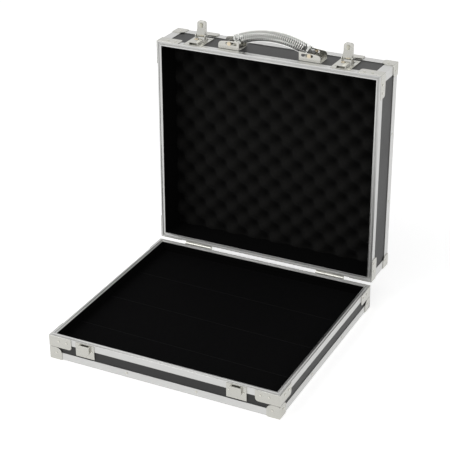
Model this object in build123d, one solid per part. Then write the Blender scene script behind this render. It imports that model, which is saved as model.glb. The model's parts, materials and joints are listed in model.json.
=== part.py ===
from build123d import *
import math
import os

# A shallow tray with a deeper hinged lid, made of laminated plywood panels held in aluminium profiles.
# The frame is the standing case: X to the right, Y to the back, Z up, millimetres. Every piece is drawn
# from the ground under the middle of the tray, with the lid closed, and the lid is then swung open.

# Overall size of the case, over the profiles
case_width = 450.0
case_depth = 410.0
base_height = 47.5
lid_height = 85.0
rim_gap = 0.3

# Panels, linings and soft parts
panel_thickness = 6.0
lining_thickness = 1.0
tray_depth = 20.5
carpet_thickness = 2.0
carpet_strip_width = 104.0
carpet_seam = 0.4
foam_thickness = 25.0
soft_gap = 0.3

# Aluminium profiles
profile_thickness = 1.3
rim_flange = 13.0
rim_inner_flange = 10.0
base_rim_web = 2.0
lid_rim_web = 4.0
tongue_width = 3.0
tongue_height = 2.2
tongue_side_gap = 0.3
tongue_top_gap = 0.5
base_edge_flange = 14.5
lid_edge_flange = 17.5

# Steel corner fittings
fitting_thickness = 1.2
fitting_round = 1.0
ball_corner_size = 24.0
ball_corner_lobe = 11.0
ball_corner_nose = 4.0
bracket_length = 45.0
fitting_gap = 0.3
bracket_round = 6.0

# Rivets
rivet_radius = 2.3
rivet_height = 1.0
rivet_round = 0.8
ball_rivet_inset = 13.0
bracket_rivet_drop = 9.0
bracket_rivet_near = 19.0
bracket_rivet_far = 35.0
edge_rivet_spread = 68.5
edge_rivet_inset = 8.75
small_rivet_radius = 1.7

# Hinges and the stop that holds the lid open
hinge_offset = 4.5
lid_open_angle = 91.1
hinge_from_side = 84.0
hinge_width = 57.0
hinge_leaf_height = 19.5
hinge_leaf_thickness = 1.5
knuckle_radius = 3.9
knuckle_count = 3
knuckle_side_gap = 0.3
hinge_pin_radius = 1.5
running_gap = 0.05
stop_reach = 6.6
stop_thickness = 1.6
stop_gap = 0.05
stop_width = 12.0
hinge_rivet_inner = 9.5
hinge_rivet_outer = 22.5

# Latches on the lid and catches on the tray
latch_from_left = 73.5
latch_from_right = 79.5
latch_width = 38.0
plate_thickness = 1.2
latch_plate_start = 4.2
latch_plate_length = 52.0
channel_width = 18.4
channel_wall = 1.2
channel_round = 1.0
channel_height = 4.8
channel_length = 25.0
channel_start = 6.5
tongue_bolt_width = 14.0
tongue_bolt_thickness = 1.5
tongue_bolt_gap = 0.3
tongue_bolt_length = 20.5
tongue_setback = 7.0
nib_height = 1.4
nib_length = 2.6
plate_slot_width = 1.4
plate_slot_gap = 0.3
channel_slot = (13.5, 18.5)
ear_slot = (38.0, 51.0)
lever_pivot_back = 40.2
lever_open_angle = 90.0
lever_width = 17.8
lever_heel = 3.2
lever_seat_gap = 0.4
lever_foot_length = 5.9
lever_neck_length = 6.6
lever_head_inside = 0.4
lever_head_outside = 7.2
lever_shoulder = 9.0
lever_length = 27.5
lever_end_round = 5.0
lever_edge_round = 1.2
lever_pin_radius = 1.25
ear_thickness = 1.6
ear_half_length = 5.2
ear_side_gap = 0.3
ear_round = 2.8
lock_radius = 3.4
lock_from_end = 7.0
lock_flange_radius = 4.6
lock_flange = 0.8
lock_tail = 1.2
lock_cam_width = 3.6
lock_cam_length = 7.0
lock_cam_thickness = 0.7
keyway_width = 0.8
keyway_depth = 0.8
catch_top_drop = 1.0
catch_bottom_gap = 3.5
shield_width = 22.0
shield_height = 4.7
shield_wall = 1.0
shield_drop = 3.5
shield_straight = 8.5
pocket_width = 16.0
pocket_depth = 13.0
lip_length = 3.0
lip_gap = 0.4
clip_width = 34.0
clip_length = 15.5
clip_height = 3.0
clip_round = 1.4
clip_inset = 0.6
latch_rivet_side = 14.5
latch_rivet_inset = 5.0
catch_rivet_side = 14.0
catch_rivet_top = 13.0
catch_rivet_bottom = 26.0

# Carrying handle
bracket_inner = 60.3
bracket_outer = 103.0
bracket_sheet = 1.5
bracket_gap = 1.6
bracket_span = 33.6
ear_inner_height = 18.8
ear_outer_height = 15.0
ear_end_round = 7.0
ear_foot_round = 4.0
slot_inner = 65.0
slot_outer = 88.0
slot_half_width = 2.6
handle_pin_x = 80.5
handle_pin_height = 12.3
handle_pin_radius = 2.2
handle_pin_head_radius = 3.8
handle_pin_head = 0.8
handle_pin_head_gap = 0.3
handle_rise = 20.5
strap_width = 12.8
strap_thickness = 2.4
strap_eye_radius = 4.4
grip_half_length = 70.0
grip_turns = 32
wire_radius = 1.25
winding_radius = 8.45
winding_lead_in = 5.2
winding_end_gap = 0.1
ferrule_length = 3.5
ferrule_radius = 9.6
sleeve_inner_radius = 10.2
sleeve_outer_radius = 11.4
sleeve_half_length = 76.5

# Margins and steps that only the drawing needs
closeness = 0.1
cut_beyond = 1.0
winding_samples = 16
winding_neighbours = 6
winding_reach = 2
direction_step = 0.0001

# Heights and faces worked out from the sizes above
half_width = case_width / 2
half_depth = case_depth / 2
hinge_centre = half_width - hinge_from_side
latch_left = latch_from_left - half_width
latch_right = half_width - latch_from_right
wall_face = profile_thickness
wall_inside = profile_thickness + panel_thickness
rim_width = panel_thickness + 2 * profile_thickness
lining_inside = wall_inside + lining_thickness
ground_skin = fitting_thickness
bracket_height = base_height - ground_skin - ball_corner_size - fitting_gap
floor_low = ground_skin + profile_thickness
floor_high = floor_low + panel_thickness
carpet_top = base_height - tray_depth
carpet_low = carpet_top - carpet_thickness
lid_rim = base_height + rim_gap
lid_top = lid_rim + lid_height
lid_panel_high = lid_top - profile_thickness
lid_panel_low = lid_panel_high - panel_thickness
foam_low = lid_panel_low - foam_thickness
base_edge_high = ground_skin + base_edge_flange
base_flange_low = base_height - rim_flange
lid_flange_high = lid_rim + rim_flange
lid_edge_low = lid_top - lid_edge_flange
hinge_height = base_height + rim_gap / 2
hinge_y = half_depth + hinge_offset
hinge_axis = Axis((0, hinge_y, hinge_height), (1, 0, 0))
front_y = -half_depth
front_panel_y = front_y + wall_face
front_plate_y = front_y - plate_thickness
lever_y = front_plate_y - channel_height - lever_seat_gap - lever_heel
lever_z = lid_rim + lever_pivot_back
lever_axis = Axis((0, lever_y, lever_z), (1, 0, 0))
handle_z_low = lid_flange_high + bracket_gap
handle_z_high = handle_z_low + bracket_span
handle_z = (handle_z_low + handle_z_high) / 2
handle_pin_y = front_panel_y - handle_pin_height
arch_radius = (handle_pin_x ** 2 + handle_rise ** 2) / (2 * handle_rise)
arch_centre_y = handle_pin_y - handle_rise + arch_radius


def span(x0, x1, y0, y1, z0, z1):
    """A block between two opposite corners."""
    middle = ((x0 + x1) / 2, (y0 + y1) / 2, (z0 + z1) / 2)
    return Pos(*middle) * Box(x1 - x0, y1 - y0, z1 - z0)


def open_lid(shape):
    """Swing a piece of the closed lid to where it stands open."""
    return shape.rotate(hinge_axis, -lid_open_angle)


def open_lever(shape):
    """Lift a piece of a folded lever, and then open the lid it sits on."""
    return open_lid(shape.rotate(lever_axis, -lever_open_angle))


def side_block(side, u0, u1, z0, z1):
    """A block along one side of the case, from u0 to u1 inwards of the outer face."""
    if side == "front":
        return span(-half_width, half_width, -half_depth + u0, -half_depth + u1, z0, z1)
    if side == "back":
        return span(-half_width, half_width, half_depth - u1, half_depth - u0, z0, z1)
    if side == "left":
        return span(-half_width + u0, -half_width + u1, -half_depth, half_depth, z0, z1)
    return span(half_width - u1, half_width - u0, -half_depth, half_depth, z0, z1)


def mitre(side, reach, z0, z1):
    """The prism that gives a profile its mitred ends, as deep as the profile reaches inwards."""
    w, d = half_width, half_depth
    outer = {
        "front": [(-w, -d), (w, -d), (w - reach, -d + reach), (-w + reach, -d + reach)],
        "back": [(w, d), (-w, d), (-w + reach, d - reach), (w - reach, d - reach)],
        "left": [(-w, d), (-w, -d), (-w + reach, -d + reach), (-w + reach, d - reach)],
        "right": [(w, -d), (w, d), (w - reach, d - reach), (w - reach, -d + reach)],
    }
    face = make_face(Polyline(*outer[side], close=True))
    return Pos(0, 0, z0) * extrude(face, z1 - z0)


def mirrored_corners(piece):
    """A piece made at the front left corner, and its copies at the other three."""
    pair = [piece, mirror(piece, about=Plane.YZ)]
    return Compound(children=pair + [mirror(one, about=Plane.XZ) for one in pair])


def rivet(x, y, z, direction, radius=rivet_radius):
    """A domed rivet head that sits on a face and points along direction."""
    head = Pos(0, 0, rivet_height / 2) * Cylinder(radius, rivet_height)
    head = fillet(head.edges().group_by(Axis.Z)[-1], rivet_round)
    return Plane(origin=(x, y, z), z_dir=direction) * head


def base_rim(side):
    """Upper profile of the tray: a channel over the panel edge with a tongue on top."""
    outer = side_block(side, 0, profile_thickness, base_flange_low, base_height)
    web = side_block(side, 0, rim_width, base_height - base_rim_web, base_height)
    inner_low = base_height - rim_inner_flange
    inner = side_block(side, rim_width - profile_thickness, rim_width, inner_low, base_height)
    middle = rim_width / 2
    tongue_low, tongue_high = middle - tongue_width / 2, middle + tongue_width / 2
    tongue_foot, tongue_top = base_height - base_rim_web, base_height + tongue_height
    tongue = side_block(side, tongue_low, tongue_high, tongue_foot, tongue_top)
    section = outer + web + inner + tongue
    return section & mitre(side, rim_width, base_flange_low, base_height + tongue_height)


def lid_rim_profile(side):
    """Rim profile of the lid: a channel over the panel edge with a groove for the tongue."""
    web_high = lid_rim + lid_rim_web
    outer = side_block(side, 0, profile_thickness, lid_rim, lid_flange_high)
    web = side_block(side, 0, rim_width, lid_rim, web_high)
    inner_high = lid_rim + rim_inner_flange
    inner = side_block(side, rim_width - profile_thickness, rim_width, lid_rim, inner_high)
    half_groove = tongue_width / 2 + tongue_side_gap
    groove_depth = tongue_height - rim_gap + tongue_top_gap
    middle = rim_width / 2
    groove = side_block(side, middle - half_groove, middle + half_groove, lid_rim, lid_rim + groove_depth)
    section = outer + web + inner - groove
    return section & mitre(side, rim_width, lid_rim, lid_flange_high)


def base_edge(side):
    """Angle profile around the bottom edge of the tray."""
    upright = side_block(side, 0, profile_thickness, ground_skin, base_edge_high)
    under = side_block(side, 0, base_edge_flange, ground_skin, floor_low)
    return (upright + under) & mitre(side, base_edge_flange, ground_skin, base_edge_high)


def lid_edge(side):
    """Angle profile around the outer edge of the lid."""
    upright = side_block(side, 0, profile_thickness, lid_edge_low, lid_top)
    over = side_block(side, 0, lid_edge_flange, lid_panel_high, lid_top)
    return (upright + over) & mitre(side, lid_edge_flange, lid_edge_low, lid_top)


def corner_angles(flange, z0, z1):
    """The four upright angle profiles at the corners, between the rim and the edge profile."""
    x, y = -half_width, -half_depth
    front = span(x, x + flange, y, y + profile_thickness, z0, z1)
    side = span(x, x + profile_thickness, y, y + flange, z0, z1)
    return mirrored_corners(front + side)


def wall_panels(z0, z1):
    """Front and back panels run full width, and the side panels fit between them."""
    w, d = half_width - wall_face, half_depth - wall_face
    between = d - panel_thickness
    return {
        "front": span(-w, w, -d, -between, z0, z1),
        "back": span(-w, w, between, d, z0, z1),
        "left": span(-w, -w + panel_thickness, -between, between, z0, z1),
        "right": span(w - panel_thickness, w, -between, between, z0, z1),
    }


def inner_block(inset, z0, z1):
    """A block that fills the case inside a given inset from the outer faces."""
    w, d = half_width - inset, half_depth - inset
    return span(-w, w, -d, d, z0, z1)


def wall_lining(z0, z1):
    """Thin textile glued round the inside of the walls."""
    return inner_block(wall_inside, z0, z1) - inner_block(lining_inside, z0, z1)


def full_panel(z0, z1):
    """Bottom or top panel, which reaches over the edges of the walls."""
    return inner_block(wall_face, z0, z1)


def carpet_strips():
    """Loop carpet laid on the tray floor in strips across the case, the front one cut narrow."""
    w, d = half_width - lining_inside, half_depth - lining_inside
    strips = []
    back = d
    while back > -d:
        front = max(back - carpet_strip_width, -d)
        strips.append(span(-w, w, front + carpet_seam, back, carpet_low, carpet_top))
        back = front
    return Compound(children=strips)


def lobe_waste():
    """What is cut from a square sheet to leave one lobe of a ball corner, drawn from the case's corner."""
    t, s = fitting_thickness, ball_corner_size
    square = Pos((s - t) / 2, (s - t) / 2) * Rectangle(s + t, s + t)
    lobe = fillet(square.vertices().sort_by(lambda v: v.X + v.Y)[-1], ball_corner_lobe)
    near = [v for v in lobe.vertices() if min(v.X, v.Y) < 0 and max(v.X, v.Y) > 0]
    return Pos(0, 0, -t) * extrude(square - fillet(near, ball_corner_nose), t)


def ball_corner():
    """Pressed steel corner of three round lobes, with its vertex at the origin."""
    t, s = fitting_thickness, ball_corner_size
    block = span(-t, s, -t, s, -t, s)
    ways = (Axis.X, Axis.Y, Axis.Z)
    outer = [block.edges().filter_by(way).sort_by(lambda e: sum(e.center()))[0] for way in ways]
    shell = fillet(outer, fitting_round) - span(0, s, 0, s, 0, s)
    waste = lobe_waste()
    side = Plane(origin=(0, 0, 0), x_dir=(0, 1, 0), z_dir=(1, 0, 0)) * waste
    front = Plane(origin=(0, 0, 0), x_dir=(0, 0, 1), z_dir=(0, 1, 0)) * waste
    return shell - waste - side - front


def base_ball_corners():
    """Ball corners under the tray, which it stands on."""
    return mirrored_corners(Pos(-half_width, -half_depth, ground_skin) * ball_corner())


def lid_ball_corners():
    """Ball corners on the outer face of the lid."""
    turned = mirror(ball_corner(), about=Plane.XY)
    return mirrored_corners(Pos(-half_width, -half_depth, lid_top) * turned)


def rim_bracket(z_free, z_rim):
    """Steel angle plate round a rim corner, with round free corners away from the rim."""
    t = fitting_thickness
    z0, z1 = min(z_free, z_rim), max(z_free, z_rim)
    x, y = -half_width, -half_depth
    front = span(x - t, x + bracket_length, y - t, y, z0, z1)
    side = span(x - t, x, y - t, y + bracket_length, z0, z1)
    plate = front + side
    corners = [e for e in plate.edges() if free_corner(e, z_free)]
    plate = fillet(corners, bracket_round)
    outer = plate.edges().filter_by(Axis.Z).sort_by(lambda e: e.center().X + e.center().Y)[0]
    return fillet(outer, fitting_round)


def free_corner(edge, z_free):
    """True for the short edges through the sheet at a bracket's two free corners."""
    middle = edge.center()
    at_free_end = abs(middle.Z - z_free) < closeness
    through_sheet = edge.length < fitting_thickness + closeness
    from_corner = middle.X + middle.Y + half_width + half_depth
    return at_free_end and through_sheet and from_corner > bracket_length / 2


def corner_rivets(z_bracket, z_ball):
    """Two rivets on each side of a rim bracket and one on each side lobe of a ball corner."""
    t = fitting_thickness
    x, y = -half_width, -half_depth
    rows = [(bracket_rivet_near, z_bracket), (bracket_rivet_far, z_bracket), (ball_rivet_inset, z_ball)]
    heads = []
    for inset, z in rows:
        heads.append(rivet(x + inset, y - t, z, (0, -1, 0)))
        heads.append(rivet(x - t, y + inset, z, (-1, 0, 0)))
    corners = []
    for head in heads:
        corners += mirrored_corners(head).children
    return corners


def edge_rivets(z):
    """Two rivets along the edge profile on each of the four sides."""
    heads = []
    for along in (-edge_rivet_spread, edge_rivet_spread):
        heads.append(rivet(along, -half_depth, z, (0, -1, 0)))
        heads.append(rivet(along, half_depth, z, (0, 1, 0)))
        heads.append(rivet(-half_width, along, z, (-1, 0, 0)))
        heads.append(rivet(half_width, along, z, (1, 0, 0)))
    return heads


def hinge_rivets(x_centre, z):
    """Four rivets through a hinge leaf."""
    y = half_depth + hinge_leaf_thickness
    offsets = (-hinge_rivet_outer, -hinge_rivet_inner, hinge_rivet_inner, hinge_rivet_outer)
    return [rivet(x_centre + dx, y, z, (0, 1, 0), small_rivet_radius) for dx in offsets]


def base_rivets():
    """All rivet heads on the tray."""
    ball_z = ground_skin + ball_rivet_inset
    heads = corner_rivets(base_height - bracket_rivet_drop, ball_z)
    heads += edge_rivets(ground_skin + edge_rivet_inset)
    for sign in (-1, 1):
        heads += hinge_rivets(sign * hinge_centre, hinge_height - hinge_leaf_height + latch_rivet_inset)
    for x in (latch_left, latch_right):
        upper = [(-catch_rivet_side, catch_rivet_top), (catch_rivet_side, catch_rivet_top)]
        for dx, drop in upper + [(0, catch_rivet_bottom)]:
            head = rivet(x + dx, front_plate_y, base_height - drop, (0, -1, 0), small_rivet_radius)
            heads.append(head)
    return Compound(children=heads)


def lid_rivets():
    """All rivet heads on the lid."""
    ball_z = lid_top - ball_rivet_inset
    heads = corner_rivets(lid_rim + bracket_rivet_drop, ball_z) + edge_rivets(lid_top - edge_rivet_inset)
    plate_back = lid_rim + latch_plate_start + latch_plate_length
    for sign in (-1, 1):
        heads += hinge_rivets(sign * hinge_centre, hinge_height + hinge_leaf_height - latch_rivet_inset)
    for x in (latch_left, latch_right):
        for dx in (-latch_rivet_side, latch_rivet_side):
            for z in (lid_flange_high + latch_rivet_inset, plate_back - latch_rivet_inset):
                heads.append(rivet(x + dx, front_plate_y, z, (0, -1, 0), small_rivet_radius))
    return Compound(children=heads)


def knuckles(x_centre, own_first):
    """The hinge segments of one leaf as (x0, x1), every second one along the hinge."""
    length = hinge_width / knuckle_count
    start = x_centre - hinge_width / 2
    first = 0 if own_first else 1
    segments = []
    for index in range(first, knuckle_count, 2):
        low = start + index * length + (knuckle_side_gap / 2 if index > 0 else 0)
        last = index == knuckle_count - 1
        high = start + (index + 1) * length - (0 if last else knuckle_side_gap / 2)
        segments.append((low, high))
    return segments


def along_x(radius, x0, x1, y, z):
    """A round bar along X."""
    bar = Cylinder(radius, x1 - x0, rotation=(0, 90, 0))
    return Pos((x0 + x1) / 2, y, z) * bar


def hinge_leaf(x_centre, up):
    """One hinge leaf: the tray's points down and the lid's points up, with its own knuckles."""
    x0, x1 = x_centre - hinge_width / 2, x_centre + hinge_width / 2
    sign = 1 if up else -1
    far = hinge_height + sign * hinge_leaf_height
    flange_end = lid_flange_high if up else base_flange_low
    y_out = half_depth + hinge_leaf_thickness
    zs = sorted((hinge_height, far))
    leaf = span(x0, x1, half_depth, y_out, *zs)
    pad = sorted((flange_end + sign * soft_gap, far))
    leaf += span(x0, x1, half_depth - wall_face, half_depth, *pad)
    own = knuckles(x_centre, own_first=not up)
    others = knuckles(x_centre, own_first=up)
    for low, high in own:
        leaf += along_x(knuckle_radius, low, high, hinge_y, hinge_height)
    gap = knuckle_side_gap
    for low, high in others:
        leaf -= along_x(knuckle_radius + gap, low - gap, high + gap, hinge_y, hinge_height)
    near = sorted((hinge_height, hinge_height - sign * (knuckle_radius + gap)))
    clear_of_knuckles = half_depth + hinge_offset - knuckle_radius - gap
    leaf -= span(x0 - gap, x1 + gap, half_depth - wall_face, clear_of_knuckles, *near)
    leaf += stop_tab(x_centre) if up else stop_ledge(x_centre)
    return leaf - along_x(hinge_pin_radius + running_gap, x0 - gap, x1 + gap, hinge_y, hinge_height)


def stop_tab(x_centre):
    """Tab on the lid's middle knuckle. It points back when the lid is closed and down when it is open."""
    x0, x1 = x_centre - stop_width / 2, x_centre + stop_width / 2
    tab = span(x0, x1, hinge_y, hinge_y + stop_reach, hinge_height, hinge_height + stop_thickness)
    return tab.rotate(hinge_axis, lid_open_angle - 90)


def stop_ledge(x_centre):
    """Ledge on the tray's leaf that the tab meets when the lid is open."""
    x0, x1 = x_centre - stop_width / 2, x_centre + stop_width / 2
    z_high = hinge_height - knuckle_radius - knuckle_side_gap
    z_low = hinge_height - stop_reach
    return span(x0, x1, half_depth, hinge_y - stop_gap, z_low, z_high)


def hinge_pins():
    """The two hinge pins."""
    pins = []
    for sign in (-1, 1):
        x = sign * hinge_centre
        x0, x1 = x - hinge_width / 2, x + hinge_width / 2
        pins.append(along_x(hinge_pin_radius, x0, x1, hinge_y, hinge_height))
    return Compound(children=pins)


def catch_plate(x):
    """Catch on the tray front: a riveted plate with a raised shield that the latch tongue hooks into."""
    x0, x1 = x - latch_width / 2, x + latch_width / 2
    y0 = front_plate_y
    low = base_edge_high + catch_bottom_gap
    step = base_flange_low - soft_gap
    plate = span(x0, x1, y0, front_panel_y, low, step)
    plate += span(x0, x1, y0, front_y, step, base_height - catch_top_drop)
    top = base_height - shield_drop
    round_z = top - shield_straight
    y_shield = y0 - shield_height
    shield = span(x - shield_width / 2, x + shield_width / 2, y_shield, y0, round_z, top)
    disc = Pos(x, (y_shield + y0) / 2, round_z)
    disc *= Cylinder(shield_width / 2, shield_height, rotation=(90, 0, 0))
    shield += disc - span(x0, x1, y_shield, y0, top, round_z + shield_width)
    shield = fillet(shield.faces().sort_by(Axis.Y)[0].edges(), shield_wall / 2)
    mouth_out = y0 - tongue_bolt_gap - tongue_bolt_thickness - lip_gap
    px0, px1 = x - pocket_width / 2, x + pocket_width / 2
    pocket = span(px0, px1, y_shield + shield_wall, y0, top - pocket_depth, top - lip_length)
    pocket += span(px0, px1, mouth_out, y0, top - lip_length, top)
    return plate + (shield - pocket)


def latch_plate(x):
    """Latch body on the lid front: a riveted plate, a raised channel for the tongue and two ears."""
    x0, x1 = x - latch_width / 2, x + latch_width / 2
    y0 = front_plate_y
    z0 = lid_rim + latch_plate_start
    step = lid_flange_high + soft_gap
    plate = span(x0, x1, y0, front_panel_y, step, z0 + latch_plate_length)
    plate += span(x0, x1, y0, front_y, z0, step)
    for sign in (-1, 1):
        ear_side = lever_width / 2 + ear_side_gap + ear_thickness
        for beside, (low, high) in ((channel_width / 2, channel_slot), (ear_side, ear_slot)):
            near = beside + plate_slot_gap
            slot = sorted((x + sign * near, x + sign * (near + plate_slot_width)))
            plate -= span(*slot, y0, front_panel_y, lid_rim + low, lid_rim + high)
    c0 = lid_rim + channel_start
    y_top = y0 - channel_height
    channel = span(x - channel_width / 2, x + channel_width / 2, y_top, y0, c0, c0 + channel_length)
    channel = fillet(channel.faces().sort_by(Axis.Y)[0].edges().filter_by(Axis.Z), channel_round)
    half_inner = channel_width / 2 - channel_wall
    hollow_end = c0 + channel_length - channel_wall
    channel -= span(x - half_inner, x + half_inner, y_top + channel_wall, y0, c0, hollow_end)
    half_slit = tongue_bolt_width / 2 + tongue_bolt_gap
    slit_y = y0 - tongue_bolt_thickness - 2 * tongue_bolt_gap
    channel -= span(x - half_slit, x + half_slit, slit_y, y0, hollow_end, c0 + channel_length)
    body = plate + channel
    for sign in (-1, 1):
        near = lever_width / 2 + ear_side_gap
        sides = sorted((x + sign * near, x + sign * (near + ear_thickness)))
        ear = span(*sides, lever_y - ear_round, y0, lever_z - ear_half_length, lever_z + ear_half_length)
        body += fillet(ear.faces().sort_by(Axis.Y)[0].edges().filter_by(Axis.X), ear_round)
    return body - lever_pin_bore(x)


def lever_pin_bore(x):
    """The bore for a lever's pin, through the lever and both ears."""
    reach = lever_width
    return along_x(lever_pin_radius + running_gap, x - reach, x + reach, lever_y, lever_z)


def latch_tongue(x):
    """Flat tongue that slides in the latch channel, with a nib that hooks under the catch's lip."""
    y_in = front_plate_y - tongue_bolt_gap
    y_out = y_in - tongue_bolt_thickness
    tip = lid_rim + channel_start + tongue_setback
    half = tongue_bolt_width / 2
    strip = span(x - half, x + half, y_out, y_in, tip, tip + tongue_bolt_length)
    return strip + span(x - half, x + half, y_out - nib_height, y_in, tip, tip + nib_length)


def lever_outline():
    """Side outline of a folded lever, as (outwards, towards the rim) measured from its pivot."""
    inside, outside = lever_head_inside, lever_head_outside
    foot, neck = lever_foot_length, lever_foot_length + lever_neck_length
    points = [(-lever_heel, 0), (-lever_heel, foot), (inside, neck), (inside, lever_length)]
    return points + [(outside, lever_length), (outside, lever_shoulder), (lever_heel, 0)]


def latch_lever(x):
    """Folded lever: a cam foot round the pivot pin, a sloping neck and a thick round-ended head."""
    points = [(lever_y - out, lever_z - along) for out, along in lever_outline()]
    face = make_face(Polyline(*points, close=True))
    plane = Plane(origin=(0, 0, 0), x_dir=(0, 1, 0), z_dir=(1, 0, 0))
    body = plane * extrude(face, lever_width / 2, both=True)
    end = body.edges().filter_by(Axis.Y).group_by(Axis.Z)[0]
    body = fillet(end, lever_end_round)
    body = fillet(body.faces().sort_by(Axis.Y)[0].edges(), lever_edge_round)
    body += along_x(lever_heel, -lever_width / 2, lever_width / 2, lever_y, lever_z)
    bore = across_y(lock_radius + running_gap, lever_y - lever_width, lever_y + lever_width, lock_height())
    return Pos(x, 0, 0) * (body - bore - lever_pin_bore(0))


def lock_height():
    """Height of the lock's axis while the lever is folded."""
    return lever_z - lever_length + lock_from_end


def lock_barrel(x):
    """Lock in a lever's head: a flanged barrel with a keyway outside and a short cam inside."""
    z = lock_height()
    y_out, y_in = lever_y - lever_head_outside, lever_y - lever_head_inside
    face, tail = y_out - lock_flange, y_in + lock_tail
    barrel = across_y(lock_radius, face, tail, z)
    barrel += across_y(lock_flange_radius, face, y_out - running_gap, z)
    half_key = keyway_width / 2
    barrel -= span(-lock_radius / 2, lock_radius / 2, face, face + keyway_depth, z - half_key, z + half_key)
    half = lock_cam_width / 2
    barrel += span(-half, half, tail, tail + lock_cam_thickness, z - half, z - half + lock_cam_length)
    return Pos(x, 0, 0) * barrel


def across_y(radius, y0, y1, z):
    """A round bar along Y."""
    return Pos(0, (y0 + y1) / 2, z) * Cylinder(radius, y1 - y0, rotation=(90, 0, 0))


def lever_pins():
    """The two pins that the levers turn on, held in the ears."""
    reach = lever_width / 2 + ear_side_gap + ear_thickness
    pins = []
    for x in (latch_left, latch_right):
        pins.append(along_x(lever_pin_radius, x - reach, x + reach, lever_y, lever_z))
    return Compound(children=pins)


def latch_clips():
    """Low rounded plates on the lid's front edge profile, one behind each latch."""
    clips = []
    z1 = lid_top - clip_inset
    y1 = front_y - clip_height
    for x in (latch_left, latch_right):
        clip = span(x - clip_width / 2, x + clip_width / 2, y1, front_y, z1 - clip_length, z1)
        clips.append(fillet(clip.faces().sort_by(Axis.Y)[0].edges(), clip_round))
    return Compound(children=clips)


def handle_ear(z0, z1):
    """Ear of a handle bracket on the right: high at its inner end, round at its outer end, slotted."""
    inner_top = front_panel_y - ear_inner_height
    outer_top = front_panel_y - ear_outer_height
    points = [(bracket_inner, front_panel_y), (bracket_inner, inner_top)]
    points += [(bracket_outer, outer_top), (bracket_outer, front_panel_y)]
    face = make_face(Polyline(*points, close=True))
    face = fillet(face.vertices().sort_by(lambda v: v.X - v.Y)[-1], ear_end_round)
    face = fillet(face.vertices().sort_by(lambda v: v.X + v.Y)[-1], ear_foot_round)
    slot = SlotOverall(slot_outer - slot_inner, 2 * slot_half_width)
    face -= Pos((slot_inner + slot_outer) / 2, handle_pin_y) * slot
    return Pos(0, 0, z0) * extrude(face, z1 - z0)


def handle_brackets():
    """Two channel brackets on the lid front, each with two slotted ears for a handle pin."""
    foot_y = front_panel_y - bracket_sheet
    foot = span(bracket_inner, bracket_outer, foot_y, front_panel_y, handle_z_low, handle_z_high)
    right = foot + handle_ear(handle_z_low, handle_z_low + bracket_sheet)
    right += handle_ear(handle_z_high - bracket_sheet, handle_z_high)
    return Compound(children=[right, mirror(right, about=Plane.YZ)])


def upright_bar(radius, x, y, z0, z1):
    """A round bar along Z."""
    return Pos(x, y, (z0 + z1) / 2) * Cylinder(radius, z1 - z0)


def handle_pins():
    """Two headed pins that slide in the bracket slots."""
    low, high = handle_z_low - handle_pin_head_gap, handle_z_high + handle_pin_head_gap
    pins = []
    for x in (-handle_pin_x, handle_pin_x):
        pin = upright_bar(handle_pin_radius, x, handle_pin_y, low, high)
        pin += upright_bar(handle_pin_head_radius, x, handle_pin_y, low - handle_pin_head, low)
        pin += upright_bar(handle_pin_head_radius, x, handle_pin_y, high, high + handle_pin_head)
        pins.append(pin)
    return Compound(children=pins)


def arch_point(along, outwards, sideways=0.0):
    """A point given along the handle's arch, outwards from it and sideways across it."""
    angle = along / arch_radius
    reach = arch_radius + outwards
    return Vector(reach * math.sin(angle), arch_centre_y - reach * math.cos(angle), handle_z + sideways)


def arch_direction(along):
    """Unit direction of the handle's arch."""
    angle = along / arch_radius
    return Vector(math.cos(angle), math.sin(angle), 0)


def arch_length(x):
    """Length along the arch from the middle to a given x."""
    return arch_radius * math.asin(x / arch_radius)


def arch_edge(x0, x1):
    """The middle line of the handle between two places."""
    a, b = arch_length(x0), arch_length(x1)
    return ThreePointArc(arch_point(a, 0), arch_point((a + b) / 2, 0), arch_point(b, 0))


def across_arch(x, sketch):
    """A sketch set square across the arch."""
    along = arch_length(x)
    plane = Plane(origin=arch_point(along, 0), x_dir=(0, 0, 1), z_dir=arch_direction(along))
    return plane * sketch


def handle_strap():
    """Flat spring-steel strap from pin to pin, with a rolled eye at each end."""
    path = arch_edge(-handle_pin_x, handle_pin_x)
    strap = sweep(across_arch(-handle_pin_x, Rectangle(strap_width, strap_thickness)), path=path)
    low, high = handle_z - strap_width / 2, handle_z + strap_width / 2
    for x in (-handle_pin_x, handle_pin_x):
        strap += upright_bar(strap_eye_radius, x, handle_pin_y, low, high)
    bore_low, bore_high = low - cut_beyond, high + cut_beyond
    for x in (-handle_pin_x, handle_pin_x):
        strap -= upright_bar(handle_pin_radius + running_gap, x, handle_pin_y, bore_low, bore_high)
    return strap


def handle_ferrules():
    """Two rings crimped on the strap at the ends of the winding."""
    eye_width, eye_thickness = strap_width + 2 * running_gap, strap_thickness + 2 * running_gap
    rings = []
    for sign in (-1, 1):
        path = arch_edge(*sorted((sign * grip_half_length, sign * (grip_half_length + ferrule_length))))
        start = min(sign * grip_half_length, sign * (grip_half_length + ferrule_length))
        ring = sweep(across_arch(start, Circle(ferrule_radius)), path=path)
        hole = sweep(across_arch(start, Rectangle(eye_width, eye_thickness)), path=path)
        rings.append(ring - hole)
    return Compound(children=rings)


def handle_sleeve():
    """Clear tube over the winding and its ferrules."""
    path = arch_edge(-sleeve_half_length, sleeve_half_length)
    ring = Circle(sleeve_outer_radius) - Circle(sleeve_inner_radius)
    return sweep(across_arch(-sleeve_half_length, ring), path=path)


def winding_place(along, turn):
    """Point of the winding's middle line at a place along the arch, turn in radians."""
    return arch_point(along, winding_radius * math.cos(turn), winding_radius * math.sin(turn))


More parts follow.
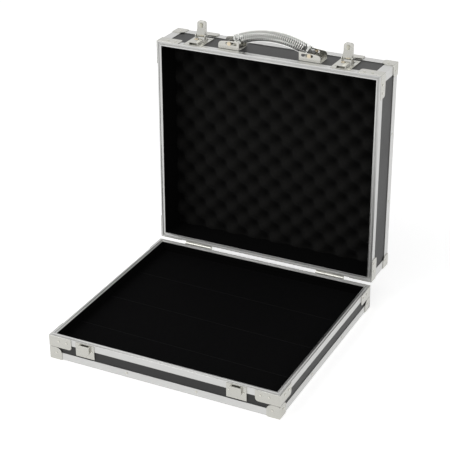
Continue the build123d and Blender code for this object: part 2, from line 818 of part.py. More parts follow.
def biarc(p0, t0, p1, t1):
    """Two arcs from p0 to p1 that start along t0 and end along t1."""
    chord = p1 - p0
    lean = chord.dot(t0 + t1)
    spread = 2 * (1 - t0.dot(t1))
    reach = (-lean + math.sqrt(lean ** 2 + spread * chord.dot(chord))) / spread
    first, second = p0 + t0 * reach, p1 - t1 * reach
    middle = (first + second) * 0.5
    turn = (second - first).normalized()
    return [TangentArc(p0, middle, tangent=t0), TangentArc(middle, p1, tangent=turn)]


def winding_stations():
    """Points and directions of the winding at every quarter turn, with a straight lead at each end."""
    half = arch_length(grip_half_length) - winding_end_gap
    wound = half - winding_lead_in - 2 * wire_radius
    quarters = 4 * grip_turns
    advance = 2 * wound / quarters
    small = direction_step
    stations = []
    for index in range(quarters + 1):
        along, turn = -wound + index * advance, index * math.pi / 2
        ahead = winding_place(along + small * advance, turn + small * math.pi / 2)
        behind = winding_place(along - small * advance, turn - small * math.pi / 2)
        stations.append((winding_place(along, turn), (ahead - behind).normalized()))
    start_along, end_along = -half + 2 * wire_radius, half - 2 * wire_radius
    start = (winding_place(start_along, -math.pi / 2), arch_direction(start_along))
    end = (winding_place(end_along, (quarters + 1) * math.pi / 2), arch_direction(end_along))
    return [start] + stations + [end]


def least_gap(points, skip):
    """Least distance between parts of the winding that aren't neighbours, less one wire."""
    reach = (winding_reach + 1) * skip
    least = min((a - b).length for i, a in enumerate(points) for b in points[i + skip:i + reach])
    return least - 2 * wire_radius


def handle_winding():
    """One steel wire wound round the strap as a single unbroken tube."""
    stations = winding_stations()
    edges = []
    for (p0, t0), (p1, t1) in zip(stations, stations[1:]):
        edges += biarc(p0, t0, p1, t1)
    first, first_way = stations[0]
    last, last_way = stations[-1]
    lead = 2 * wire_radius
    edges = [Line(first - first_way * lead, first)] + edges + [Line(last, last + last_way * lead)]
    path = Wire(edges)
    samples = winding_samples
    points = [edge.position_at(step / samples) for edge in edges for step in range(samples)]
    gap = least_gap(points, winding_neighbours * samples)
    print("winding: least gap to itself", round(gap, 3), "mm, edges", len(edges))
    start = Plane(origin=path.position_at(0), z_dir=path.tangent_at(0))
    return sweep(start * Circle(wire_radius), path=path)


def tray():
    """Every piece of the tray."""
    panels = wall_panels(floor_high, base_height - base_rim_web)
    inner_flange_low = base_height - rim_inner_flange
    pieces = {"base_bottom_panel": full_panel(floor_low, floor_high)}
    for side in ("front", "back", "left", "right"):
        pieces["base_" + side + "_panel"] = panels[side]
        pieces["base_rim_" + side] = base_rim(side)
    pieces["base_edge_front"] = base_edge("front")
    pieces["base_edge_back"] = base_edge("back")
    pieces["base_edge_sides"] = Compound(children=[base_edge("left"), base_edge("right")])
    pieces["base_corner_angles"] = corner_angles(base_edge_flange, base_edge_high, base_flange_low)
    pieces["base_ball_corners"] = base_ball_corners()
    bracket = rim_bracket(base_height - bracket_height, base_height)
    pieces["base_rim_brackets"] = mirrored_corners(bracket)
    pieces["base_rivets"] = base_rivets()
    pieces["base_wall_lining"] = wall_lining(floor_high, inner_flange_low)
    pieces["floor_pad"] = inner_block(lining_inside, floor_high, carpet_low)
    pieces["floor_carpet"] = carpet_strips()
    pieces["catch_plate_left"] = catch_plate(latch_left)
    pieces["catch_plate_right"] = catch_plate(latch_right)
    pieces["hinge_base_leaf_left"] = hinge_leaf(-hinge_centre, up=False)
    pieces["hinge_base_leaf_right"] = hinge_leaf(hinge_centre, up=False)
    pieces["hinge_pins"] = hinge_pins()
    return pieces


def lid():
    """Every piece that is fixed to the lid, still closed."""
    panels = wall_panels(lid_rim + lid_rim_web, lid_panel_low)
    pieces = {"lid_top_panel": full_panel(lid_panel_low, lid_panel_high)}
    for side in ("front", "back", "left", "right"):
        pieces["lid_" + side + "_panel"] = panels[side]
        pieces["lid_rim_" + side] = lid_rim_profile(side)
    pieces["lid_edge_front"] = lid_edge("front")
    pieces["lid_edge_back"] = lid_edge("back")
    pieces["lid_edge_sides"] = Compound(children=[lid_edge("left"), lid_edge("right")])
    pieces["lid_corner_angles"] = corner_angles(lid_edge_flange, lid_flange_high, lid_edge_low)
    pieces["lid_ball_corners"] = lid_ball_corners()
    pieces["lid_rim_brackets"] = mirrored_corners(rim_bracket(lid_rim + bracket_height, lid_rim))
    pieces["lid_rivets"] = lid_rivets()
    pieces["lid_wall_lining"] = wall_lining(lid_rim + rim_inner_flange, lid_panel_low)
    pieces["lid_foam"] = inner_block(lining_inside, foam_low, lid_panel_low)
    pieces["hinge_lid_leaf_left"] = hinge_leaf(-hinge_centre, up=True)
    pieces["hinge_lid_leaf_right"] = hinge_leaf(hinge_centre, up=True)
    pieces["latch_plate_left"] = latch_plate(latch_left)
    pieces["latch_plate_right"] = latch_plate(latch_right)
    pieces["latch_lever_pins"] = lever_pins()
    pieces["latch_clips"] = latch_clips()
    pieces["handle_brackets"] = handle_brackets()
    pieces["latch_tongue_left"] = latch_tongue(latch_left)
    pieces["latch_tongue_right"] = latch_tongue(latch_right)
    pieces["handle_pins"] = handle_pins()
    pieces["handle_strap"] = handle_strap()
    pieces["handle_ferrules"] = handle_ferrules()
    pieces["handle_winding"] = handle_winding()
    pieces["handle_sleeve"] = handle_sleeve()
    return pieces


def levers():
    """The levers and the locks in them, still folded."""
    pieces = {}
    for name, x in (("left", latch_left), ("right", latch_right)):
        pieces["latch_lever_" + name] = latch_lever(x)
        pieces["lock_barrel_" + name] = lock_barrel(x)
    return pieces


os.makedirs("parts", exist_ok=True)
parts = tray()
for name, piece in lid().items():
    parts[name] = open_lid(piece)
for name, piece in levers().items():
    parts[name] = open_lever(piece)

# The origin goes on the ground under the middle of the whole standing case, lid and all
boxes = [piece.bounding_box() for piece in parts.values()]
middle_y = (min(box.min.Y for box in boxes) + max(box.max.Y for box in boxes)) / 2
for name, piece in parts.items():
    solids = [solid.translate((0, -middle_y, 0)) for solid in piece.solids()]
    export_step(solids[0] if len(solids) == 1 else Compound(solids), os.path.join("parts", name + ".step"))
print("wrote", len(parts), "parts, moved by", round(-middle_y, 4), "mm along Y")
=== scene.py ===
import json
import math

import bmesh
import bpy
from mathutils import Matrix, Vector


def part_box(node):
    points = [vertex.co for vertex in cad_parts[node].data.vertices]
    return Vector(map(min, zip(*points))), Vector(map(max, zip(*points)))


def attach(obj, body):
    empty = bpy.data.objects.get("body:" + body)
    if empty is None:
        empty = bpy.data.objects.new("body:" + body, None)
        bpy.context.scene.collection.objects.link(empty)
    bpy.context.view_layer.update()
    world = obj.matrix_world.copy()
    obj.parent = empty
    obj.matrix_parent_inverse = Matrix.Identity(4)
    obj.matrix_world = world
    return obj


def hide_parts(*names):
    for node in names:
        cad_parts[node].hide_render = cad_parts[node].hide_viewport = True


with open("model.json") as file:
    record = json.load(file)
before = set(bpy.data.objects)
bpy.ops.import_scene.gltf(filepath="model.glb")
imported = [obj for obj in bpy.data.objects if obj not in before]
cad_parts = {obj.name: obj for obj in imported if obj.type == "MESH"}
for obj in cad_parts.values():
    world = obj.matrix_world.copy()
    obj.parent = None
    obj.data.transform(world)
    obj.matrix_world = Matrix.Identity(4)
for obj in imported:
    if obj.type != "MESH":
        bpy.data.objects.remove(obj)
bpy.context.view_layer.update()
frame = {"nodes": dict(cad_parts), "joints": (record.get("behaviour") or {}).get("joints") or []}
nodes = frame["nodes"]


# Extruded aluminium profiles round the rims and outer edges. They are drawn lengths with a satin finish,
# mitred at the corners, and their streaks run along each length. The grain that they share with the
# pressed and moulded pieces is a fine uneven surface, and both are read from the object's coordinates.
def new_group(name, inputs, outputs):
    group = bpy.data.node_groups.new(name, "ShaderNodeTree")
    for label, kind, value in inputs:
        socket = group.interface.new_socket(label, in_out="INPUT", socket_type=kind)
        socket.default_value = value
    for label, kind in outputs:
        group.interface.new_socket(label, in_out="OUTPUT", socket_type=kind)
    return group, group.nodes.new("NodeGroupInput"), group.nodes.new("NodeGroupOutput")


def grain_group():
    group, inlet, outlet = new_group(
        "surface_grain",
        [("Scale", "NodeSocketFloat", 900.0), ("Patch Scale", "NodeSocketFloat", 18.0)],
        [("Fine", "NodeSocketFloat"), ("Patch", "NodeSocketFloat")],
    )
    place = group.nodes.new("ShaderNodeTexCoord")
    for label, scale, detail in (("Fine", "Scale", 3.0), ("Patch", "Patch Scale", 4.0)):
        noise = group.nodes.new("ShaderNodeTexNoise")
        noise.inputs["Detail"].default_value = detail
        group.links.new(place.outputs["Object"], noise.inputs["Vector"])
        group.links.new(inlet.outputs[scale], noise.inputs["Scale"])
        group.links.new(noise.outputs["Fac"], outlet.inputs[label])
    return group


def streak_group():
    group, inlet, outlet = new_group(
        "drawn_streaks",
        [("Stretch", "NodeSocketVector", (1.0, 1.0, 1.0))],
        [("Streak", "NodeSocketFloat")],
    )
    place = group.nodes.new("ShaderNodeTexCoord")
    stretch = group.nodes.new("ShaderNodeVectorMath")
    stretch.operation = "MULTIPLY"
    noise = group.nodes.new("ShaderNodeTexNoise")
    noise.inputs["Scale"].default_value = 1.0
    noise.inputs["Detail"].default_value = 4.0
    group.links.new(place.outputs["Object"], stretch.inputs[0])
    group.links.new(inlet.outputs["Stretch"], stretch.inputs[1])
    group.links.new(stretch.outputs["Vector"], noise.inputs["Vector"])
    group.links.new(noise.outputs["Fac"], outlet.inputs["Streak"])
    return group


grain = grain_group()
streaks = streak_group()


def new_material(name, colour, roughness, metallic=0.0):
    material = bpy.data.materials.new(name)
    material.use_nodes = True
    shader = material.node_tree.nodes["Principled BSDF"]
    shader.inputs["Base Color"].default_value = (*colour, 1.0)
    shader.inputs["Roughness"].default_value = roughness
    shader.inputs["Metallic"].default_value = metallic
    return material, material.node_tree, shader


def vary(tree, source, low, high, target):
    """Spreads a mask between two values or colours and feeds it to a socket."""
    if isinstance(low, tuple):
        blend = tree.nodes.new("ShaderNodeMix")
        blend.data_type = "RGBA"
        blend.inputs["A"].default_value = (*low, 1.0)
        blend.inputs["B"].default_value = (*high, 1.0)
        tree.links.new(source, blend.inputs["Factor"])
        tree.links.new(blend.outputs["Result"], target)
        return
    spread = tree.nodes.new("ShaderNodeMapRange")
    spread.inputs["To Min"].default_value = low
    spread.inputs["To Max"].default_value = high
    tree.links.new(source, spread.inputs["Value"])
    tree.links.new(spread.outputs["Result"], target)


def raise_surface(tree, shader, source, height):
    """Lets a mask stand as a fine relief of that height, in metres."""
    bump = tree.nodes.new("ShaderNodeBump")
    bump.inputs["Strength"].default_value = 1.0
    bump.inputs["Distance"].default_value = height
    tree.links.new(source, bump.inputs["Height"])
    tree.links.new(bump.outputs["Normal"], shader.inputs["Normal"])


def add_grain(tree, scale, patch_scale):
    node = tree.nodes.new("ShaderNodeGroup")
    node.node_tree = grain
    node.inputs["Scale"].default_value = scale
    node.inputs["Patch Scale"].default_value = patch_scale
    return node


metal_patch_scale = 25.0
patch_darkness = 0.93
smoothest, roughest = 0.8, 1.25


def metal(name, colour, roughness, stretch=None, grain_scale=700.0, relief=0.00003):
    """A plated or drawn metal: uneven polish, faint patches, and streaks along a drawn length."""
    material, tree, shader = new_material(name, colour, roughness, 1.0)
    patch = add_grain(tree, grain_scale, metal_patch_scale)
    darker = tuple(value * patch_darkness for value in colour)
    smooth, rough = roughness * smoothest, roughness * roughest
    vary(tree, patch.outputs["Patch"], colour, darker, shader.inputs["Base Color"])
    vary(tree, patch.outputs["Patch"], smooth, rough, shader.inputs["Roughness"])
    source = patch.outputs["Fine"]
    if stretch:
        lines = tree.nodes.new("ShaderNodeGroup")
        lines.node_tree = streaks
        lines.inputs["Stretch"].default_value = stretch
        source = lines.outputs["Streak"]
    raise_surface(tree, shader, source, relief)
    return material


# Metal pieces keep the solids' own shape. A pressed or sawn edge is never knife-sharp, so each visible
# metal piece is a copy of its solid with the doubles merged and its sharp edges rounded a little.
merge_distance = 0.000002
flat_turn = math.radians(0.6)
smooth_turn = math.radians(40)
edge_turn = math.radians(35)


def softened(name, node, body, material, width):
    mesh = nodes[node].data.copy()
    mesh.name = name
    shape = bmesh.new()
    shape.from_mesh(mesh)
    bmesh.ops.remove_doubles(shape, verts=shape.verts, dist=merge_distance)
    bmesh.ops.dissolve_limit(
        shape, angle_limit=flat_turn, verts=shape.verts, edges=shape.edges, delimit={"NORMAL"}
    )
    shape.to_mesh(mesh)
    shape.free()
    piece = bpy.data.objects.new(name, mesh)
    bpy.context.scene.collection.objects.link(piece)
    mesh.materials.clear()
    mesh.materials.append(material)
    for polygon in mesh.polygons:
        polygon.use_smooth = True
    mesh.set_sharp_from_angle(angle=smooth_turn)
    rounding = piece.modifiers.new("rounded_edges", "BEVEL")
    rounding.width = width
    rounding.segments = 2
    rounding.limit_method = "ANGLE"
    rounding.angle_limit = edge_turn
    rounding.harden_normals = False
    rounding.use_clamp_overlap = True
    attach(piece, body)
    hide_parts(node)


aluminium_colour = (0.585, 0.585, 0.575)
along_x = metal("aluminium_along_x", aluminium_colour, 0.34, (6.0, 900.0, 900.0), relief=0.00004)
along_y = metal("aluminium_along_y", aluminium_colour, 0.34, (900.0, 6.0, 900.0), relief=0.00004)
along_z = metal("aluminium_along_z", aluminium_colour, 0.34, (900.0, 900.0, 6.0), relief=0.00004)
profile_round = 0.0003
for side in ("front", "back"):
    softened("tray_rim_" + side, "base_rim_" + side, "tray", along_x, profile_round)
    softened("lid_rim_profile_" + side, "lid_rim_" + side, "lid", along_x, profile_round)
    softened("tray_edge_" + side, "base_edge_" + side, "tray", along_x, profile_round)
    softened("lid_edge_profile_" + side, "lid_edge_" + side, "lid", along_x, profile_round)
for side in ("left", "right"):
    softened("tray_rim_" + side, "base_rim_" + side, "tray", along_y, profile_round)
    softened("lid_rim_profile_" + side, "lid_rim_" + side, "lid", along_z, profile_round)
softened("tray_edge_sides", "base_edge_sides", "tray", along_y, profile_round)
softened("lid_edge_profile_sides", "lid_edge_sides", "lid", along_z, profile_round)
softened("tray_corner_angles", "base_corner_angles", "tray", along_z, profile_round)
softened("lid_corner_profiles", "lid_corner_angles", "lid", along_y, profile_round)


# Zinc-plated pressed steel: corner fittings, hinge leaves, latch and catch plates, levers, brackets.
# The plating is bright and a little cloudy, and every pressed edge is rounded.
zinc = metal("zinc_plate", (0.52, 0.515, 0.48), 0.24, grain_scale=450.0, relief=0.00002)
fitting_round = 0.0004
tongue_round = 0.0002
for name, node, body in (
    ("tray_ball_corners", "base_ball_corners", "tray"),
    ("tray_rim_brackets", "base_rim_brackets", "tray"),
    ("tray_catch_left", "catch_plate_left", "tray"),
    ("tray_catch_right", "catch_plate_right", "tray"),
    ("tray_hinge_leaf_left", "hinge_base_leaf_left", "tray"),
    ("tray_hinge_leaf_right", "hinge_base_leaf_right", "tray"),
    ("lid_corner_balls", "lid_ball_corners", "lid"),
    ("lid_corner_brackets", "lid_rim_brackets", "lid"),
    ("lid_hinge_plate_left", "hinge_lid_leaf_left", "lid"),
    ("lid_hinge_plate_right", "hinge_lid_leaf_right", "lid"),
    ("latch_body_left", "latch_plate_left", "lid"),
    ("latch_body_right", "latch_plate_right", "lid"),
    ("latch_edge_clips", "latch_clips", "lid"),
    ("handle_channel_brackets", "handle_brackets", "lid"),
    ("lever_left", "latch_lever_left", "left_lever"),
    ("lever_right", "latch_lever_right", "right_lever"),
    ("tongue_left", "latch_tongue_left", "left_tongue"),
    ("tongue_right", "latch_tongue_right", "right_tongue"),
):
    width = tongue_round if "tongue" in name else fitting_round
    softened(name, node, body, zinc, width)


# Rivet heads and pins are small turned or headed parts, left as their solids with a plated finish.
rivet_finish = metal("rivet_plate", (0.60, 0.59, 0.54), 0.16, grain_scale=1500.0, relief=0.00001)
brass_finish = metal("yellow_plate", (0.64, 0.56, 0.42), 0.28, grain_scale=1200.0, relief=0.00001)
lock_finish = metal("lock_face", (0.50, 0.49, 0.42), 0.32, grain_scale=1200.0, relief=0.00001)
for node, finish in (
    ("base_rivets", rivet_finish),
    ("lid_rivets", rivet_finish),
    ("hinge_pins", zinc),
    ("latch_lever_pins", rivet_finish),
    ("lock_barrel_left", lock_finish),
    ("lock_barrel_right", lock_finish),
    ("handle_pins", brass_finish),
):
    nodes[node].data.materials.clear()
    nodes[node].data.materials.append(finish)


# The carrying handle is a steel strap wound with bright wire and closed by crimped rings, inside a
# clear soft plastic tube.
wire_finish = metal("nickel_wire", (0.74, 0.74, 0.73), 0.18, grain_scale=900.0, relief=0.00001)
# The strap is coloured much darker than its steel, as painted shade that darkens the gaps between the
# wire turns.
strap_shade_finish = metal("strap_steel_painted_shade", (0.12, 0.12, 0.115), 0.42, grain_scale=500.0, relief=0.00002)
for node, finish in (
    ("handle_winding", wire_finish),
    ("handle_ferrules", wire_finish),
    ("handle_strap", strap_shade_finish),
):
    nodes[node].data.materials.clear()
    nodes[node].data.materials.append(finish)
sleeve_finish, sleeve_tree, sleeve_shader = new_material("clear_tube", (0.92, 0.925, 0.91), 0.04)
sleeve_shader.inputs["Transmission Weight"].default_value = 1.0
sleeve_shader.inputs["IOR"].default_value = 1.015
sleeve_texture = add_grain(sleeve_tree, 60.0, 14.0)
vary(sleeve_tree, sleeve_texture.outputs["Patch"], 0.0, 0.02, sleeve_shader.inputs["Roughness"])
nodes["handle_sleeve"].data.materials.clear()
nodes["handle_sleeve"].data.materials.append(sleeve_finish)


# Plywood panels faced with a tough black laminate. It has a fine pebbled grain and a dull sheen that
# catches the light on the sides.
laminate, laminate_tree, laminate_shader = new_material("black_laminate", (0.012, 0.012, 0.012), 0.48)
laminate_texture = add_grain(laminate_tree, 1100.0, 9.0)
vary(
    laminate_tree,
    laminate_texture.outputs["Fine"],
    (0.010, 0.010, 0.0098),
    (0.018, 0.018, 0.0176),
    laminate_shader.inputs["Base Color"],
)
vary(laminate_tree, laminate_texture.outputs["Patch"], 0.40, 0.56, laminate_shader.inputs["Roughness"])
raise_surface(laminate_tree, laminate_shader, laminate_texture.outputs["Fine"], 0.00012)
laminate_shader.inputs["Specular IOR Level"].default_value = 0.45
for name, node in nodes.items():
    if name.endswith("_panel"):
        node.data.materials.clear()
        node.data.materials.append(laminate)


# Thin black textile glued inside the walls of the tray and of the lid, with a felted nap.
textile_patch_scale = 22.0
no_shine = 0.04


def textile(name, dark, light, nap_scale, nap_height):
    material, tree, shader = new_material(name, dark, 0.95)
    texture = add_grain(tree, nap_scale, textile_patch_scale)
    vary(tree, texture.outputs["Fine"], dark, light, shader.inputs["Base Color"])
    raise_surface(tree, shader, texture.outputs["Fine"], nap_height)
    shader.inputs["Specular IOR Level"].default_value = no_shine
    return material


lining_finish = textile("black_nap", (0.002, 0.002, 0.002), (0.005, 0.005, 0.005), 1300.0, 0.0004)


crease_turn = math.radians(50)


def finish_piece(name, shape, material, body, replaced, turn=None):
    """Turns a drawn shape into a finished piece that rides on a body and stands for a solid."""
    bmesh.ops.recalc_face_normals(shape, faces=shape.faces)
    mesh = bpy.data.meshes.new(name)
    shape.to_mesh(mesh)
    shape.free()
    if turn is not None:
        mesh.transform(turn)
    mesh.materials.append(material)
    for polygon in mesh.polygons:
        polygon.use_smooth = True
    mesh.set_sharp_from_angle(angle=crease_turn)
    piece = bpy.data.objects.new(name, mesh)
    bpy.context.scene.collection.objects.link(piece)
    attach(piece, body)
    if replaced:
        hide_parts(replaced)
    return piece


def sheet_block(shape, low, high, rounding):
    """A thin block between two corners with softly rounded edges."""
    made = bmesh.ops.create_cube(shape, size=1.0)["verts"]
    size = Vector(high) - Vector(low)
    bmesh.ops.scale(shape, vec=size, verts=made)
    bmesh.ops.translate(shape, vec=(Vector(low) + Vector(high)) / 2, verts=made)
    edges = list({edge for vert in made for edge in vert.link_edges})
    bmesh.ops.bevel(
        shape,
        geom=edges,
        offset=rounding,
        offset_type="OFFSET",
        segments=3,
        profile=0.5,
        affect="EDGES",
        material=-1,
    )


lining_round = 0.4


def wall_lining(name, low, high, thickness, replaced, body, turn=None):
    """Four strips of textile against the inner faces of the walls."""
    shape = bmesh.new()
    rounding = thickness * lining_round
    low, high = Vector(low), Vector(high)
    sheet_block(shape, low, (high.x, low.y + thickness, high.z), rounding)
    sheet_block(shape, (low.x, high.y - thickness, low.z), high, rounding)
    inner_low, inner_high = low.y + thickness, high.y - thickness
    sheet_block(shape, (low.x, inner_low, low.z), (low.x + thickness, inner_high, high.z), rounding)
    sheet_block(shape, (high.x - thickness, inner_low, low.z), (high.x, inner_high, high.z), rounding)
    return finish_piece(name, shape, lining_finish, body, replaced, turn)


# Where the closed lid stands. The lid's soft parts are shaped with the lid shut, as they are fitted on
# the bench, and then swung open round the hinge by this turn.
lid_joint = next(joint for joint in frame["joints"] if joint["name"] == "lid_hinge")
hinge_point = Vector(lid_joint["pos_m"])
lid_turn = math.radians(lid_joint["range_deg"][1])
swing_open = (
    Matrix.Translation(hinge_point)
    @ Matrix.Rotation(-lid_turn, 4, "X")
    @ Matrix.Translation(-hinge_point)
)


def closed_box(node):
    """Corners of a lid node with the lid shut, read from its own points."""
    shut = swing_open.inverted()
    points = [shut @ vert.co for vert in nodes[node].data.vertices]
    low = Vector([min(point[axis] for point in points) for axis in range(3)])
    high = Vector([max(point[axis] for point in points) for axis in range(3)])
    return low, high


lining_thickness = 0.001
tray_lining_low, tray_lining_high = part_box("base_wall_lining")
wall_lining(
    "tray_wall_textile", tray_lining_low, tray_lining_high, lining_thickness, "base_wall_lining", "tray"
)
lid_lining_low, lid_lining_high = closed_box("lid_wall_lining")
wall_lining(
    "lid_wall_textile",
    lid_lining_low,
    lid_lining_high,
    lining_thickness,
    "lid_wall_lining",
    "lid",
    swing_open,
)


# The same textile is folded over the inner legs of the rim profiles, so that little bare metal shows
# inside. On the tray it stops below the lid's rim, which comes down on it when the case is shut.
cover_thickness = 0.0004
leg_inset = 0.0013
cover_margin = 0.0012
cover_overlap = 0.0008
tray_rim_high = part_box("base_rim_front")[1].z
lid_rim_low = closed_box("lid_rim_front")[0].z
sideways = Vector((leg_inset, leg_inset, 0.0))
cover_low, cover_high = tray_lining_low + sideways, tray_lining_high - sideways
cover_low.z = tray_lining_high.z - cover_overlap
cover_high.z = min(tray_rim_high, lid_rim_low) - cover_margin
wall_lining("tray_rim_textile", cover_low, cover_high, cover_thickness, None, "tray")
cover_low, cover_high = lid_lining_low + sideways, lid_lining_high - sideways
cover_low.z, cover_high.z = lid_rim_low + cover_margin, lid_lining_low.z + cover_overlap
wall_lining("lid_rim_textile", cover_low, cover_high, cover_thickness, None, "lid", swing_open)


# Loop carpet on the tray floor, cut in strips that lie edge to edge across the case, over a raised pad.
# The strips aren't quite square to the case, so their seams run slightly aslant.
loop_dark, loop_light = (0.0018, 0.0018, 0.0019), (0.0052, 0.0052, 0.0055)
backing_dark, backing_light = (0.008, 0.008, 0.008), (0.020, 0.020, 0.020)
carpet_finish = textile("loop_carpet", loop_dark, loop_light, 750.0, 0.0009)
seam_finish = textile("carpet_backing", backing_dark, backing_light, 1400.0, 0.0002)
carpet_low, carpet_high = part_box("floor_carpet")
strip_width = 0.104
seam_turn = math.radians(1.2)
seam_half_width = 0.0005
seam_reach, seam_dip = 0.0016, 0.0009
carpet_columns, carpet_rows = 60, 300
seam_segments = 40
backing_drop, thread_thickness = 0.0002, 0.0003


def carpet():
    """One carpet of strips: a fine grid that dips along each seam, with its edges turned down."""
    shape = bmesh.new()
    bmesh.ops.create_grid(shape, x_segments=carpet_columns, y_segments=carpet_rows, size=0.5)
    size = carpet_high - carpet_low
    middle = (carpet_low + carpet_high) / 2
    bmesh.ops.scale(shape, vec=(size.x, size.y, 1.0), verts=shape.verts)
    bmesh.ops.translate(shape, vec=(middle.x, middle.y, carpet_high.z), verts=shape.verts)
    for vert in shape.verts:
        from_back = carpet_high.y - vert.co.y - vert.co.x * math.tan(seam_turn)
        to_seam = abs((from_back / strip_width - 0.5) % 1.0 - 0.5) * strip_width
        if to_seam < seam_reach and strip_width / 2 < from_back < size.y - strip_width / 4:
            vert.co.z -= seam_dip * (1 - to_seam / seam_reach)
    border = [edge for edge in shape.edges if edge.is_boundary]
    made = bmesh.ops.extrude_edge_only(shape, edges=border)["geom"]
    lowered = [item for item in made if isinstance(item, bmesh.types.BMVert)]
    for vert in lowered:
        vert.co.z = carpet_low.z
    bmesh.ops.contextual_create(shape, geom=[e for e in shape.edges if e.is_boundary])
    finish_piece("floor_carpet_strips", shape, carpet_finish, "tray", "floor_carpet")
    backing = bmesh.new()
    for count in (1, 2, 3):
        made = bmesh.ops.create_grid(backing, x_segments=seam_segments, y_segments=1, size=0.5)["verts"]
        bmesh.ops.scale(backing, vec=(size.x, 2 * seam_half_width, 1.0), verts=made)
        slant = Matrix.Rotation(-seam_turn, 3, "Z")
        bmesh.ops.rotate(backing, matrix=slant, verts=made)
        at = (middle.x, carpet_high.y - count * strip_width, carpet_high.z - backing_drop)
        bmesh.ops.translate(backing, vec=at, verts=made)
    mesh = bpy.data.meshes.new("carpet_seam_threads")
    backing.to_mesh(mesh)
    backing.free()
    mesh.materials.append(seam_finish)
    threads = bpy.data.objects.new("carpet_seam_threads", mesh)
    bpy.context.scene.collection.objects.link(threads)
    thickness = threads.modifiers.new("thread", "SOLIDIFY")
    thickness.thickness = thread_thickness
    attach(threads, "tray")


carpet()
pad_dark, pad_light = (0.006, 0.006, 0.006), (0.014, 0.014, 0.014)
pad_finish = textile("floor_board_foam", pad_dark, pad_light, 900.0, 0.0003)
pad_round = 0.0008
pad_low, pad_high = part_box("floor_pad")
pad_shape = bmesh.new()
sheet_block(pad_shape, pad_low, pad_high, pad_round)
pad = finish_piece("floor_support_pad", pad_shape, pad_finish, "tray", "floor_pad")


# A small yellow-plated spring clip sits on the end of each latch channel, in front of the lever's foot.
# It is a strip of sheet with a low hump that the lever presses on.
clip_width, clip_length, clip_hump, clip_sheet = 0.007, 0.0085, 0.0007, 0.0006
clip_side, clip_start, channel_rise = -0.0025, 0.0172, 0.0073
for side in ("left", "right"):
    plate_low, plate_high = closed_box("latch_plate_" + side)
    clip_shape = bmesh.new()
    bmesh.ops.create_grid(clip_shape, x_segments=2, y_segments=12, size=0.5)
    for vert in clip_shape.verts:
        along = vert.co.y + 0.5
        across = vert.co.x * clip_width + clip_side
        hump = clip_hump * math.sin(math.pi * along) ** 2
        vert.co = (
            (plate_low.x + plate_high.x) / 2 + across,
            plate_high.y - channel_rise - clip_sheet / 2 - hump,
            plate_low.z + clip_start + along * clip_length,
        )
    made = bmesh.ops.solidify(clip_shape, geom=clip_shape.faces, thickness=clip_sheet)
    finish_piece(
        "latch_spring_clip_" + side, clip_shape, brass_finish, "lid", None, swing_open
    )


# Egg-crate foam in the lid: an open-cell sheet cut so that round peaks and hollows alternate. Its cut
# edges follow the waves, and it is glued to the inside of the top.
foam_finish, foam_tree, foam_shader = new_material("egg_crate_foam", (0.008, 0.008, 0.0078), 0.95)
foam_shader.inputs["Specular IOR Level"].default_value = no_shine
foam_shader.inputs["Sheen Weight"].default_value = 0.03
foam_texture = add_grain(foam_tree, 800.0, textile_patch_scale)
# The foam is painted darker in its hollows and lighter on its peaks, as painted shade, and that mask is
# multiplied with the grain.
foam_shade_attribute = foam_tree.nodes.new("ShaderNodeAttribute")
foam_shade_attribute.attribute_name = "painted_hollow_shade"
foam_grain_and_shade = foam_tree.nodes.new("ShaderNodeMath")
foam_grain_and_shade.operation = "MULTIPLY"
foam_tree.links.new(foam_shade_attribute.outputs["Fac"], foam_grain_and_shade.inputs[0])
foam_tree.links.new(foam_texture.outputs["Fine"], foam_grain_and_shade.inputs[1])
vary(
    foam_tree,
    foam_grain_and_shade.outputs["Value"],
    (0.0020, 0.0020, 0.0020),
    (0.028, 0.0275, 0.026),
    foam_shader.inputs["Base Color"],
)
raise_surface(foam_tree, foam_shader, foam_texture.outputs["Fine"], 0.0006)
foam_low, foam_high = closed_box("lid_foam")
foam_period = 0.047
foam_wave = 0.0055
foam_fullness = 0.85
hollow_shade_falloff = 0.6
foam_clearance, glue_gap = 0.0006, 0.0002
foam_columns, foam_rows = 216, 196


def foam_height(x, y):
    """Height of the foam's face over its mean, staggered peaks and hollows."""
    turn = 2 * math.pi / foam_period
    wave = math.cos(turn * x) * math.cos(turn * y)
    return foam_wave * math.copysign(abs(wave) ** foam_fullness, wave)


def egg_crate():
    shape = bmesh.new()
    bmesh.ops.create_grid(shape, x_segments=foam_columns, y_segments=foam_rows, size=0.5)
    size = foam_high - foam_low
    middle = (foam_low + foam_high) / 2
    bmesh.ops.scale(shape, vec=(size.x - foam_clearance, size.y - foam_clearance, 1.0), verts=shape.verts)
    bmesh.ops.translate(shape, vec=(middle.x, middle.y, foam_low.z + foam_wave), verts=shape.verts)
    painted_hollow_shade = shape.verts.layers.float.new("painted_hollow_shade")
    for vert in shape.verts:
        height = foam_height(vert.co.x - middle.x, vert.co.y - middle.y)
        vert.co.z -= height
        # Painted shade: each point stores a value that is low in the hollows and high on the peaks.
        vert[painted_hollow_shade] = max(0.0, 0.5 + 0.5 * height / foam_wave) ** hollow_shade_falloff
    border = [edge for edge in shape.edges if edge.is_boundary]
    made = bmesh.ops.extrude_edge_only(shape, edges=border)["geom"]
    raised = [item for item in made if isinstance(item, bmesh.types.BMVert)]
    for vert in raised:
        vert.co.z = foam_high.z - glue_gap
    bmesh.ops.contextual_create(shape, geom=[e for e in shape.edges if e.is_boundary])
    piece = finish_piece(
        "lid_egg_crate_foam", shape, foam_finish, "lid", "lid_foam", swing_open
    )


egg_crate()


# The plain white studio: a pale floor that keeps a soft shadow, a white surround, and broad soft lamps.
floor_glow = 0.6
floor_half_size = 20.0


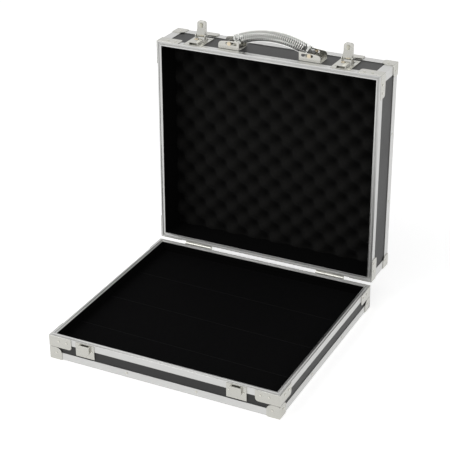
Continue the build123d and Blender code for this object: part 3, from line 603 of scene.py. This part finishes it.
def studio_floor():
    shape = bmesh.new()
    bmesh.ops.create_grid(shape, x_segments=1, y_segments=1, size=floor_half_size)
    mesh = bpy.data.meshes.new("studio_floor")
    shape.to_mesh(mesh)
    shape.free()
    floor = bpy.data.objects.new("studio_floor", mesh)
    bpy.context.scene.collection.objects.link(floor)
    material, tree, shader = new_material("white_paper", (0.88, 0.88, 0.88), 0.9)
    glow = tree.nodes.new("ShaderNodeEmission")
    glow.inputs["Color"].default_value = (1.0, 1.0, 1.0, 1.0)
    path = tree.nodes.new("ShaderNodeLightPath")
    strength = tree.nodes.new("ShaderNodeMath")
    strength.operation = "MULTIPLY"
    strength.inputs[1].default_value = floor_glow
    add = tree.nodes.new("ShaderNodeAddShader")
    seen = tree.nodes.new("ShaderNodeMath")
    seen.operation = "MAXIMUM"
    tree.links.new(path.outputs["Is Camera Ray"], seen.inputs[0])
    tree.links.new(path.outputs["Is Glossy Ray"], seen.inputs[1])
    tree.links.new(seen.outputs["Value"], strength.inputs[0])
    tree.links.new(strength.outputs["Value"], glow.inputs["Strength"])
    tree.links.new(shader.outputs["BSDF"], add.inputs[0])
    tree.links.new(glow.outputs["Emission"], add.inputs[1])
    tree.links.new(add.outputs["Shader"], tree.nodes["Material Output"].inputs["Surface"])
    mesh.materials.append(material)


def surround(plain, seen):
    """A soft world light that the camera and the metal see as white."""
    world = bpy.data.worlds.new("white_surround")
    bpy.context.scene.world = world
    world.use_nodes = True
    tree = world.node_tree
    background = tree.nodes["Background"]
    background.inputs["Color"].default_value = (1.0, 1.0, 1.0, 1.0)
    path = tree.nodes.new("ShaderNodeLightPath")
    total = path.outputs["Is Camera Ray"]
    for ray in ("Is Glossy Ray", "Is Transmission Ray"):
        add = tree.nodes.new("ShaderNodeMath")
        add.operation = "MAXIMUM"
        tree.links.new(total, add.inputs[0])
        tree.links.new(path.outputs[ray], add.inputs[1])
        total = add.outputs["Value"]
    spread = tree.nodes.new("ShaderNodeMapRange")
    spread.inputs["To Min"].default_value = plain
    spread.inputs["To Max"].default_value = seen
    tree.links.new(total, spread.inputs["Value"])
    tree.links.new(spread.outputs["Result"], background.inputs["Strength"])


def soft_lamp(name, place, aim, width, power):
    """A large square lamp that points at the case."""
    data = bpy.data.lights.new(name, "AREA")
    data.size = width
    data.energy = power
    lamp = bpy.data.objects.new(name, data)
    lamp.location = place
    lamp.rotation_euler = (Vector(aim) - Vector(place)).to_track_quat("-Z", "Y").to_euler()
    bpy.context.scene.collection.objects.link(lamp)


studio_floor()
surround(0.45, 1.0)
soft_lamp("key_lamp", (-1.2, -1.6, 2.4), (0.0, 0.0, 0.2), 1.6, 20.0)
soft_lamp("right_lamp", (2.4, -0.6, 1.5), (0.0, 0.0, 0.25), 1.4, 3.0)


# The camera, set from the photograph: how far round, how high, its slight roll, and its distance from
# the point that it looks at.
tray_middle_y = sum(corner.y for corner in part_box("base_bottom_panel")) / 2


def camera():
    azimuth, elevation, roll = math.radians(26.83), math.radians(26.86), math.radians(-0.72)
    distance = 2.4377
    target = Vector((0.024, tray_middle_y, 0.2258))
    back = Vector(
        (
            math.sin(azimuth) * math.cos(elevation),
            -math.cos(azimuth) * math.cos(elevation),
            math.sin(elevation),
        )
    )
    level = Vector((0, 0, 1)).cross(back).normalized()
    upright = back.cross(level)
    right = math.cos(roll) * level + math.sin(roll) * upright
    up = -math.sin(roll) * level + math.cos(roll) * upright
    data = bpy.data.cameras.new("photo_camera")
    data.lens = 110.35
    data.sensor_width = 36.0
    view = bpy.data.objects.new("photo_camera", data)
    place = target + back * distance
    view.matrix_world = Matrix(
        (
            (right.x, up.x, back.x, place.x),
            (right.y, up.y, back.y, place.y),
            (right.z, up.z, back.z, place.z),
            (0.0, 0.0, 0.0, 1.0),
        )
    )
    bpy.context.scene.collection.objects.link(view)
    bpy.context.scene.camera = view


camera()
bpy.context.scene.view_settings.view_transform = "Standard"
